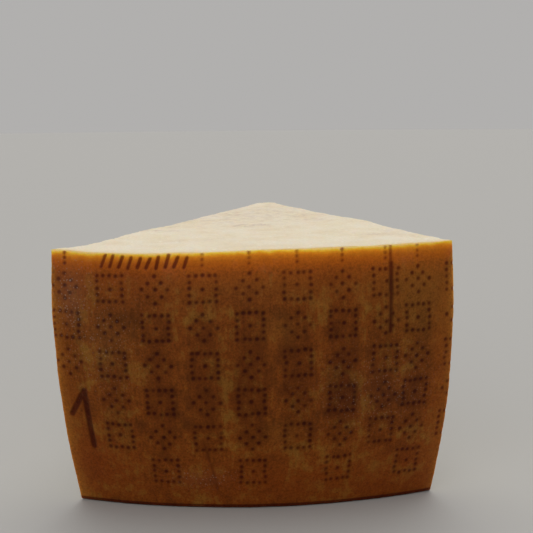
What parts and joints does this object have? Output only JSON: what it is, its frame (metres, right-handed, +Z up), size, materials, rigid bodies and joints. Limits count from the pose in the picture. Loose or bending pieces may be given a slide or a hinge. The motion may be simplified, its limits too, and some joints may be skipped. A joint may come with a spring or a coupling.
{
  "type": "hard cheese wedge",
  "caption": "Wedge of hard aged cheese cut from a half wheel: barrel-curved dark rind at one end, pale cut faces on top and both sides, blunt tip, flat underside.",
  "frame": {"origin": "under the middle of the bounding box, on the surface that the wedge stands on", "axes": "+Y from the rind towards the tip of the wedge, +Z up, +X to the right when facing the rind"},
  "size_m": [0.1724, 0.2108, 0.118],
  "materials": {
    "cheese": "matte"
  },
  "bodies": {
    "root": {"cheese_wedge": "cheese"}
  },
  "joints": []
}
